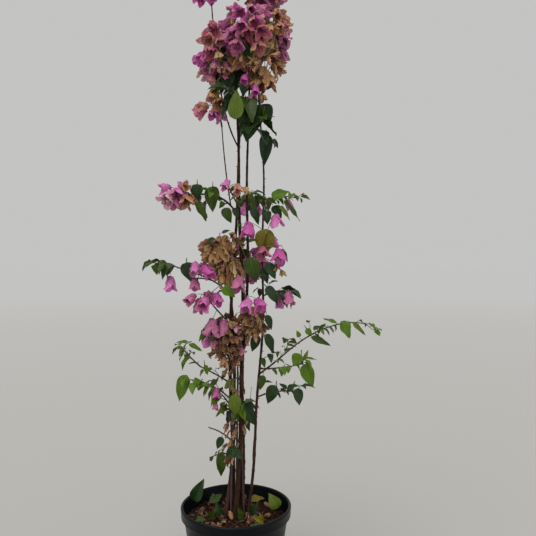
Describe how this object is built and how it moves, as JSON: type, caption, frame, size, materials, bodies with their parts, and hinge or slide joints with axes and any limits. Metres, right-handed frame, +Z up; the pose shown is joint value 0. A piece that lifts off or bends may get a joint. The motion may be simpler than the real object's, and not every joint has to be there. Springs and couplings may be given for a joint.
{
  "type": "potted bougainvillea bush",
  "caption": "Tall slim bougainvillea bush in a round black nursery pot: a bundle of thin woody canes with arching leafy sprays and heads of pink and dried papery bracts.",
  "frame": {"origin": "centre of the pot's flat underside", "axes": "+Z up along the plant, -Y towards the side that the picture shows, +X to that view's right"},
  "size_m": [0.4933, 0.3413, 1.4122],
  "materials": {
    "pot_plastic": "satin",
    "potting_mix": "matte",
    "bark": "matte",
    "foliage": "satin",
    "blossom": "matte",
    "dried_blossom": "matte"
  },
  "bodies": {
    "root": {"bough_back_high": "bark", "bough_back_low": "bark", "bough_hooked": "bark", "bough_left_high": "bark", "bough_left_low": "bark", "bough_left_mid": "bark", "bough_right_long": "bark", "bough_side": "bark", "cane_back": "bark", "cane_front": "bark", "cane_left": "bark", "cane_main": "bark", "cane_right": "bark", "head_back": "blossom", "head_back_mid": "blossom", "head_dried_high": "dried_blossom", "head_dried_low": "dried_blossom", "head_dried_mid": "dried_blossom", "head_dried_right": "dried_blossom", "head_front": "blossom", "head_front_mid": "blossom", "head_high_front": "blossom", "head_hooked": "blossom", "head_left": "blossom", "head_left_drop": "blossom", "head_left_high": "blossom", "head_left_mid": "blossom", "head_pink_mid": "blossom", "head_right": "blossom", "head_right_mid": "blossom", "head_top": "blossom", "head_under_crown": "blossom", "pot": "pot_plastic", "potting_mix": "potting_mix", "spray_back_foot": "foliage", "spray_back_high": "foliage", "spray_back_low": "foliage", "spray_foot": "foliage", "spray_front_low": "foliage", "spray_left_centre": "foliage", "spray_left_high": "foliage", "spray_left_lower": "foliage", "spray_left_mid": "foliage", "spray_left_upper": "foliage", "spray_right_crown": "foliage", "spray_right_crown_low": "foliage", "spray_right_high": "foliage", "spray_right_level": "foliage", "spray_right_long": "foliage", "spray_right_low": "foliage", "spray_right_mid": "foliage", "spray_under_crown": "foliage", "twig_bare_low": "bark"}
  },
  "joints": []
}
